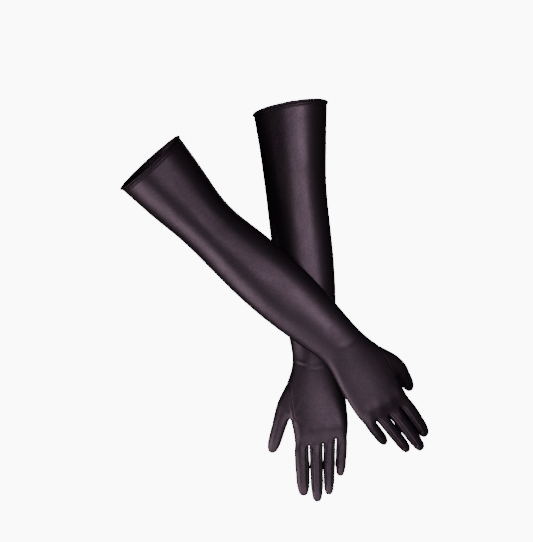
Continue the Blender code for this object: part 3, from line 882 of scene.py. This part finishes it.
def elastic_material():
    """Braided elastic tape, ribbed along its length."""
    made = bpy.data.materials.new("braided_elastic")
    made.use_nodes = True
    tree = made.node_tree
    shader = tree.nodes["Principled BSDF"]
    place = node(tree, "TexCoord").outputs["Object"]
    braid = node(tree, "TexWave", wave_type="BANDS", bands_direction="Z")
    braid.inputs["Scale"].default_value = 1.0 / (4.0 * MM)
    braid.inputs["Distortion"].default_value = 1.5
    tree.links.new(place, braid.inputs["Vector"])
    tree.links.new(coloured(tree, braid.outputs["Fac"], (0.006, 0.005, 0.006),
                            (0.030, 0.026, 0.030)),
                   shader.inputs["Base Color"])
    bump = node(tree, "Bump")
    bump.inputs["Distance"].default_value = 0.2 * MM
    tree.links.new(braid.outputs["Fac"], bump.inputs["Height"])
    tree.links.new(bump.outputs["Normal"], shader.inputs["Normal"])
    shader.inputs["Roughness"].default_value = 0.75
    return made


# ---------------------------------------------------------------- Cloth pieces

STRETCH_ACROSS = 1.15      # worn girth over the cut width
STRETCH_ALONG = 1.02       # worn length over the cut length
# the narrowest cut that a sheet may state, in metres
SHORTEST_SHEET = 0.01      # the narrowest width or length that flat_cut gives, in metres


def solid_mesh(name, points, normals, quads):
    """Closed mesh: the outer face, the reverse one fabric thickness inside, and the cut edges."""
    count = len(points)
    sides = {}
    for quad in quads.tolist():
        for corner in range(4):
            sides[(quad[corner], quad[(corner + 1) % 4])] = True
    cut_edges = [(a, b) for a, b in sides if (b, a) not in sides]
    faces = quads.tolist() + (quads[:, ::-1] + count).tolist()
    faces += [(b, a, a + count, b + count) for a, b in cut_edges]
    reverse = points - normals * FABRIC
    mesh = bpy.data.meshes.new(name)
    mesh.from_pydata((np.concatenate([points, reverse]) * MM).tolist(), [], faces)
    finishes = np.zeros(len(faces), dtype=np.int32)
    finishes[len(quads):2 * len(quads)] = 1
    mesh.polygons.foreach_set("material_index", finishes)
    mesh.shade_smooth()
    mesh.update()
    mesh.normals_split_custom_set_from_vertices(np.concatenate([normals, -normals]).tolist())
    return mesh


def add_attribute(mesh, name, kind, values):
    layer = mesh.attributes.new(name, kind, "POINT")
    field = "vector" if kind == "FLOAT_VECTOR" else "value"
    layer.data.foreach_set(field, np.asarray(values, dtype=np.float32).ravel())


def flat_cut(points, quads, axes):
    """Width, length and area in metres that a piece was cut to, before it was stretched."""
    corners = points[quads]
    areas = 0.5 * np.linalg.norm(np.cross(corners[:, 2] - corners[:, 0],
                                          corners[:, 3] - corners[:, 1]), axis=1)
    along = within(corners.mean(axis=1), axes)[:, 1]
    reach = within(points, axes)[:, 1]
    length = (reach.max() - reach.min())
    shares = np.histogram(along, bins=8, range=(reach.min(), reach.max()), weights=areas)[0]
    width = shares.max() / (length / 8.0)
    area = areas.sum() * MM * MM / STRETCH_ACROSS / STRETCH_ALONG
    width = max(width * MM / STRETCH_ACROSS, SHORTEST_SHEET)
    length = max(length * MM / STRETCH_ALONG, SHORTEST_SHEET)
    return width, length, min(area, width * length)


def cloth_piece(shape, skin, piece, finishes):
    """One cut piece of the glove as an object, standing for the CAD node of the same name."""
    glove = shape.glove
    used, quads = np.unique(skin.pieces[piece], return_inverse=True)
    quads = quads.reshape(-1, 4)
    points, normals = skin.points[used], skin.normals[used]
    name = glove.name + "_" + piece
    mesh = solid_mesh(name + "_cloth", points, normals, quads)
    axes = shape.axes_of(piece)
    cloth = within(points, axes)
    add_attribute(mesh, "cloth", "FLOAT_VECTOR", np.concatenate([cloth, cloth]))
    # the satin paints shade along the seams from this distance
    seams = skin.distances[used]
    add_attribute(mesh, "seam", "FLOAT", np.concatenate([seams, seams]))
    side_strip = "fourchette" in piece
    mesh.materials.append(finishes["fourchette" if side_strip else "satin"])
    mesh.materials.append(finishes["reverse"])
    made = bpy.data.objects.new(name + "_cloth", mesh)
    bpy.context.scene.collection.objects.link(made)
    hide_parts(name)
    width, length, area = flat_cut(points, quads, axes)
    return made


def body_of_piece(glove, piece):
    """The body that a rigid piece rides on, or the two bodies that a flexible ring joins."""
    for body, members in frame["record"]["behaviour"]["bodies"].items():
        if glove.name + "_" + piece in members:
            home = body
    rings = {"elbow_sleeve": "forearm_sleeve", "wrist_sleeve": "hand", "thumb_root": "thumb"}
    for finger in FINGERS:
        rings[finger.name + "_root"] = finger.name
    if piece in rings:
        return home, glove.name + "_" + rings[piece]
    return home, None


def ring_ends(shape, skin, piece, far_pieces):
    """Where a flexible ring starts and stops: clear of the pieces sewn to its ends."""
    axes = shape.axes_of(far_pieces[0])
    own = np.unique(skin.pieces[piece])
    far = np.unique(np.concatenate([skin.pieces[other] for other in far_pieces]))
    near_pieces = [other for other in skin.pieces if other != piece and other not in far_pieces]
    near = np.unique(np.concatenate([skin.pieces[other] for other in near_pieces]))
    first = within(skin.points[np.intersect1d(own, near)], axes)
    last = within(skin.points[np.intersect1d(own, far)], axes)
    start = axes.point(0.0, float(first[:, 1].max()), 0.0)
    end = axes.point(0.0, float(last[:, 1].min()), 0.0)
    return start * MM, end * MM


def far_side(piece, names):
    """The pieces sewn to the far end of a flexible ring."""
    if piece == "elbow_sleeve":
        return ["forearm_back_panel", "forearm_palm_panel"]
    if piece == "wrist_sleeve":
        return ["hand_back_panel", "hand_palm_panel", "thumb_gusset"]
    if piece == "thumb_root":
        return ["thumb_back_panel", "thumb_palm_panel"]
    finger = piece.split("_")[0]
    return [name for name in names if name.startswith(finger) and name != piece]


def dress(shape, skins, finishes):
    """All cloth pieces of one glove: each rigid piece on the body of its CAD node, each flexible
    ring left where it is made.
    """
    glove = shape.glove
    names = sorted(skins["sleeve"].pieces)
    for piece in names:
        small = piece.startswith("thumb") or piece.split("_")[0] in [f.name for f in FINGERS]
        skin = skins["finger" if small else "sleeve"]
        made = cloth_piece(shape, skin, piece, finishes)
        home, other = body_of_piece(glove, piece)
        if other is None:
            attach(made, home)
        else:
            start, end = ring_ends(shape, skin, piece, far_side(piece, names))
            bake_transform(made)
            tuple(start)
            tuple(end)


# ---------------------------------------------------------------- Hem

STITCH_ROWS = (1.7, 4.9)   # heights of the two rows of the twin needle
STITCH_PITCH, STITCH_LENGTH, STITCH_RADIUS = 2.9, 2.2, 0.26
RUFFLE_HEIGHT, RUFFLE_PITCH = 0.55, 13.0
RIM_RADIUS = 1.75          # the rolled edge above the stitching
HEM_LAP = 0.9              # the hem laps this far over the sleeve's edge


def casing_profile():
    """Cross-section (out, up) of the folded hem round its hollow casing, in order."""
    points = []
    for step in range(13):
        up = -HEM_LAP + step / 12.0 * (6.06 + HEM_LAP)
        dip = sum(0.30 * math.exp(-((up - row) / 0.55) ** 2) for row in STITCH_ROWS)
        flare = 0.8 * max(0.0, (up - 4.9) / 1.1)
        points.append((flare - dip, up))
    middle = (points[-1][0] - RIM_RADIUS * 0.62, 7.4)
    for step in range(11):
        angle = math.radians(-35.0 + 24.0 * step)
        points.append((middle[0] + RIM_RADIUS * 1.15 * math.cos(angle),
                       middle[1] + RIM_RADIUS * math.sin(angle)))
    inner = -(FABRIC + HEM_CASING)
    for step in range(7):
        points.append((inner - FABRIC, 5.6 - step * 1.0))
    for step in range(7):
        points.append((inner, -0.4 + step * 1.0))
    points.append((-FABRIC - HEM_CASING / 2.0, 6.1))
    for step in range(7):
        points.append((-FABRIC, 5.6 - step * 1.08))
    return points


def evenly_spaced(line, spacing):
    """The line round the opening again, with places this far apart."""
    places = np.array([place for place, out, up in line])
    outs = np.array([out for place, out, up in line])
    ups = np.array([up for place, out, up in line])
    closed = np.concatenate([places, places[:1]])
    travelled = np.concatenate([[0.0], np.cumsum(np.linalg.norm(np.diff(closed, axis=0), axis=1))])
    count = int(round(travelled[-1] / spacing))
    at = np.arange(count) * travelled[-1] / count
    rows = []
    for values in (places, outs, ups):
        ring = np.concatenate([values, values[:1]])
        rows.append(np.stack([np.interp(at, travelled, ring[:, axis]) for axis in range(3)],
                             axis=1))
    return rows[0], rows[1], rows[2], at, travelled[-1]


def hem_cloth(shape, line, finishes):
    """Folded hem swept round the arm opening, slightly ruffled at its rolled rim."""
    glove = shape.glove
    places, outs, ups, at, girth = evenly_spaced(line, 1.5)
    profile = casing_profile()
    count = len(profile)
    ruffle = noise_at(places, (RUFFLE_PITCH,) * 3, 21)
    fine = noise_at(places, (3.4,) * 3, 22)
    points, cloth = [], []
    for number in range(len(places)):
        for out, up in profile:
            loose = min(1.0, max(0.0, (up - 3.0) / 4.0))
            shift = loose * (RUFFLE_HEIGHT * ruffle[number] + 0.28 * fine[number])
            lift = loose * 0.7 * RUFFLE_HEIGHT * ruffle[number - 3]
            points.append(places[number] + outs[number] * (out + shift) + ups[number] * (up + lift))
            cloth.append((at[number], up, out))
    faces = []
    for number in range(len(places)):
        after = (number + 1) % len(places)
        for corner in range(count):
            other = (corner + 1) % count
            faces.append((number * count + corner, number * count + other,
                          after * count + other, after * count + corner))
    mesh = bpy.data.meshes.new(glove.name + "_hem_band_cloth")
    mesh.from_pydata((np.array(points) * MM).tolist(), [], faces)
    facing_outward(mesh)
    mesh.shade_smooth()
    add_attribute(mesh, "cloth", "FLOAT_VECTOR", cloth)
    # the hem satin paints shade along the stitch rows from this distance
    add_attribute(mesh, "seam", "FLOAT", [row_distance(up, out) for _, up, out in cloth])
    mesh.materials.append(finishes["hem"])
    made = bpy.data.objects.new(mesh.name, mesh)
    bpy.context.scene.collection.objects.link(made)
    return made, girth


def row_distance(up, out):
    """Distance from the nearest row of stitches on the outside of the hem."""
    if out < -FABRIC * 0.9:
        return SEAM_REACH
    return min(abs(up - row) for row in STITCH_ROWS) + 0.1


def facing_outward(mesh):
    surface = bmesh.new()
    surface.from_mesh(mesh)
    bmesh.ops.recalc_face_normals(surface, faces=surface.faces)
    surface.to_mesh(mesh)
    surface.free()


def stitch_outline():
    """Half outline of one stitch lying along X: thick in the middle, sunk at its ends."""
    steps = 6
    outline = []
    for step in range(steps + 1):
        share = step / steps
        along = (share - 0.5) * STITCH_LENGTH
        outline.append((along, STITCH_RADIUS * math.sin(math.pi * (0.04 + 0.92 * share)) ** 0.5))
    return outline


def hem_stitches(shape, line, finishes):
    """Two rows of real stitches round the hem."""
    glove = shape.glove
    places, outs, ups, at, _ = evenly_spaced(line, STITCH_PITCH)
    outline = stitch_outline()
    sides = 7
    points, faces, cloth = [], [], []
    for number in range(len(places)):
        ahead = places[(number + 1) % len(places)] - places[number]
        ahead = ahead / np.linalg.norm(ahead)
        for row in STITCH_ROWS:
            middle = (places[number] + ups[number] * row
                      - outs[number] * (0.30 - STITCH_RADIUS * 0.6))
            first = len(points)
            for along, radius in outline:
                sink = -0.10 * (2.0 * along / STITCH_LENGTH) ** 2
                for side in range(sides):
                    turn = 2.0 * math.pi * side / sides
                    point = (middle + ahead * along + ups[number] * radius * math.cos(turn)
                             + outs[number] * (radius * math.sin(turn) + sink))
                    points.append(point)
                    cloth.append((at[number] + along, row, radius * math.sin(turn)))
            rings = len(outline)
            for ring in range(rings - 1):
                for side in range(sides):
                    other = (side + 1) % sides
                    a, b = first + ring * sides, first + (ring + 1) * sides
                    faces.append((a + side, a + other, b + other, b + side))
            faces.append(tuple(range(first, first + sides)))
            faces.append(tuple(range(first + (rings - 1) * sides, first + rings * sides))[::-1])
    mesh = bpy.data.meshes.new(glove.name + "_hem_stitches")
    mesh.from_pydata((np.array(points) * MM).tolist(), [], faces)
    facing_outward(mesh)
    mesh.shade_smooth()
    add_attribute(mesh, "cloth", "FLOAT_VECTOR", cloth)
    mesh.materials.append(finishes["thread"])
    made = bpy.data.objects.new(mesh.name, mesh)
    bpy.context.scene.collection.objects.link(made)
    return made


def sew_hem(shape, skin, finishes):
    glove = shape.glove
    line = skin.opening_line()
    band, girth = hem_cloth(shape, line, finishes)
    stitches = hem_stitches(shape, line, finishes)
    body = glove.name + "_upper_sleeve"
    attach(band, body)
    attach(stitches, body)
    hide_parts(glove.name + "_hem_band")
    tape = frame["nodes"][glove.name + "_hem_elastic"]
    tape.data.materials.clear()
    tape.data.materials.append(finishes["elastic"])


# ---------------------------------------------------------------- Studio

VIEW_WIDTH = 0.7675        # width of the view at the gloves, in metres
VIEW_SHIFT = (-0.0140, 0.0443)   # the view's middle from the gloves' middle, right and up
CAMERA_DISTANCE = 3.2
SENSOR = 36.0
WALL_AT, WALL_BEND, WALL_TOP = 5.0, 0.8, 6.0   # round wall: radius, curve at its foot, height
PAPER_GLOW = 10.0          # brightness of the paper, seen by the camera only
FLOOR_DROP = 0.80          # floor below the fingertips, as for the hands of someone standing


def add_camera(low, high):
    middle = (low + high) / 2.0
    data = bpy.data.cameras.new("camera")
    data.sensor_fit = "HORIZONTAL"
    data.sensor_width = SENSOR
    data.lens = SENSOR * CAMERA_DISTANCE / VIEW_WIDTH
    data.clip_end = 20.0
    camera = bpy.data.objects.new("camera", data)
    camera.location = (middle.x + VIEW_SHIFT[0], -CAMERA_DISTANCE, middle.z + VIEW_SHIFT[1])
    camera.rotation_euler = (math.radians(90.0), 0.0, 0.0)
    bpy.context.scene.collection.objects.link(camera)
    bpy.context.scene.camera = camera


def backdrop_material():
    """Pale paper, lit evenly from behind."""
    made = bpy.data.materials.new("backdrop_paper")
    made.use_nodes = True
    tree = made.node_tree
    shader = tree.nodes["Principled BSDF"]
    place = node(tree, "TexCoord").outputs["Object"]
    fibre = noise_of(tree, stretched(tree, place, (300.0, 300.0, 300.0)), 3.0)
    tree.links.new(coloured(tree, fibre, (0.90, 0.90, 0.90), (0.94, 0.94, 0.94)),
                   shader.inputs["Base Color"])
    shader.inputs["Roughness"].default_value = 0.9
    shader.inputs["Emission Color"].default_value = (1.0, 1.0, 1.0, 1.0)
    shader.inputs["Emission Strength"].default_value = PAPER_GLOW
    return made


def add_backdrop(low):
    """Round floor that curves up into a wall on all sides, so that it serves every view."""
    floor_at = low.z - FLOOR_DROP
    line = [(0.01, 0.0), (WALL_AT - WALL_BEND, 0.0)]
    for step in range(1, 13):
        angle = math.radians(90.0 * step / 12)
        line.append((WALL_AT - WALL_BEND * (1.0 - math.sin(angle)),
                     WALL_BEND * (1.0 - math.cos(angle))))
    line.append((WALL_AT, WALL_TOP))
    sides = 96
    points = []
    for out, up in line:
        for side in range(sides):
            turn = 2.0 * math.pi * side / sides
            points.append((out * math.cos(turn), out * math.sin(turn), floor_at + up))
    faces = []
    for ring in range(len(line) - 1):
        for side in range(sides):
            other = (side + 1) % sides
            a, b = ring * sides, (ring + 1) * sides
            faces.append((a + side, b + side, b + other, a + other))
    faces.append(tuple(range(sides)))
    mesh = bpy.data.meshes.new("backdrop")
    mesh.from_pydata(points, [], faces)
    mesh.shade_smooth()
    mesh.materials.append(backdrop_material())
    backdrop = bpy.data.objects.new("backdrop", mesh)
    bpy.context.scene.collection.objects.link(backdrop)
    backdrop.visible_glossy = False
    backdrop.visible_diffuse = False


def softbox(name, aim, azimuth, elevation, distance, size, power, colour=(1.0, 1.0, 1.0)):
    """Area light that faces aim; azimuth is degrees to the right of the camera."""
    turn, lift = math.radians(azimuth), math.radians(elevation)
    away = Vector((math.sin(turn) * math.cos(lift), -math.cos(turn) * math.cos(lift),
                   math.sin(lift)))
    data = bpy.data.lights.new(name, "AREA")
    data.shape = "RECTANGLE"
    data.size, data.size_y = size
    data.energy = power
    data.color = colour
    lamp = bpy.data.objects.new(name, data)
    lamp.location = aim + away * distance
    lamp.rotation_euler = away.to_track_quat("Z", "Y").to_euler()
    lamp.visible_camera = False
    bpy.context.scene.collection.objects.link(lamp)


def add_lights(low, high):
    aim = (low + high) / 2.0
    softbox("key", aim, 31.0, 6.0, 3.4, (1.2, 2.0), 72.0, (1.0, 0.98, 1.0))
    softbox("front_soft", aim, 2.0, -2.0, 3.8, (1.5, 1.5), 50.0, (1.0, 0.98, 1.0))
    softbox("fill_low_left", aim, -72.0, -38.0, 1.5, (1.2, 1.2), 25.0, (1.0, 0.99, 0.98))
    softbox("floor_bounce", aim, 20.0, -66.0, 0.95, (0.9, 0.9), 7.0, (1.0, 0.99, 1.0))
    softbox("back_soft", aim, 176.0, 20.0, 3.4, (1.6, 1.6), 40.0)
    world = bpy.data.worlds.new("studio")
    world.use_nodes = True
    world.node_tree.nodes["Background"].inputs["Color"].default_value = (0.95, 0.96, 1.0, 1.0)
    world.node_tree.nodes["Background"].inputs["Strength"].default_value = 0.10
    bpy.context.scene.world = world


# ---------------------------------------------------------------- Assembly

def make_finishes():
    return {
        "satin": fabric("stretch_satin", (0.012, 0.008, 0.011), (0.060, 0.041, 0.055),
                        0.44, 0.92, 0.12),
        "fourchette": fabric("fourchette_satin", (0.010, 0.006, 0.009), (0.044, 0.030, 0.040),
                             0.50, 0.92, 0.10),
        "reverse": fabric("satin_reverse", (0.008, 0.006, 0.008), (0.026, 0.019, 0.025),
                          0.70, 0.6, 0.10, 0.05),
        "hem": fabric("hem_satin", (0.010, 0.006, 0.009), (0.046, 0.031, 0.042),
                      0.50, 0.92, 0.10),
        "thread": thread_material(),
        "elastic": elastic_material(),
    }


def main():
    finishes = make_finishes()
    for glove in (LEFT, RIGHT):
        cage, hand = glove_cage(glove)
        shape = Shape(glove, hand)
        skins = {"sleeve": Skin(shape, cage, SLEEVE_LEVELS),
                 "finger": Skin(shape, cage, FINGER_LEVELS)}
        dress(shape, skins, finishes)
        sew_hem(shape, skins["sleeve"], finishes)
    low, high = Vector(cad_bounds[0]), Vector(cad_bounds[1])
    add_camera(low, high)
    add_backdrop(low)
    add_lights(low, high)


main()
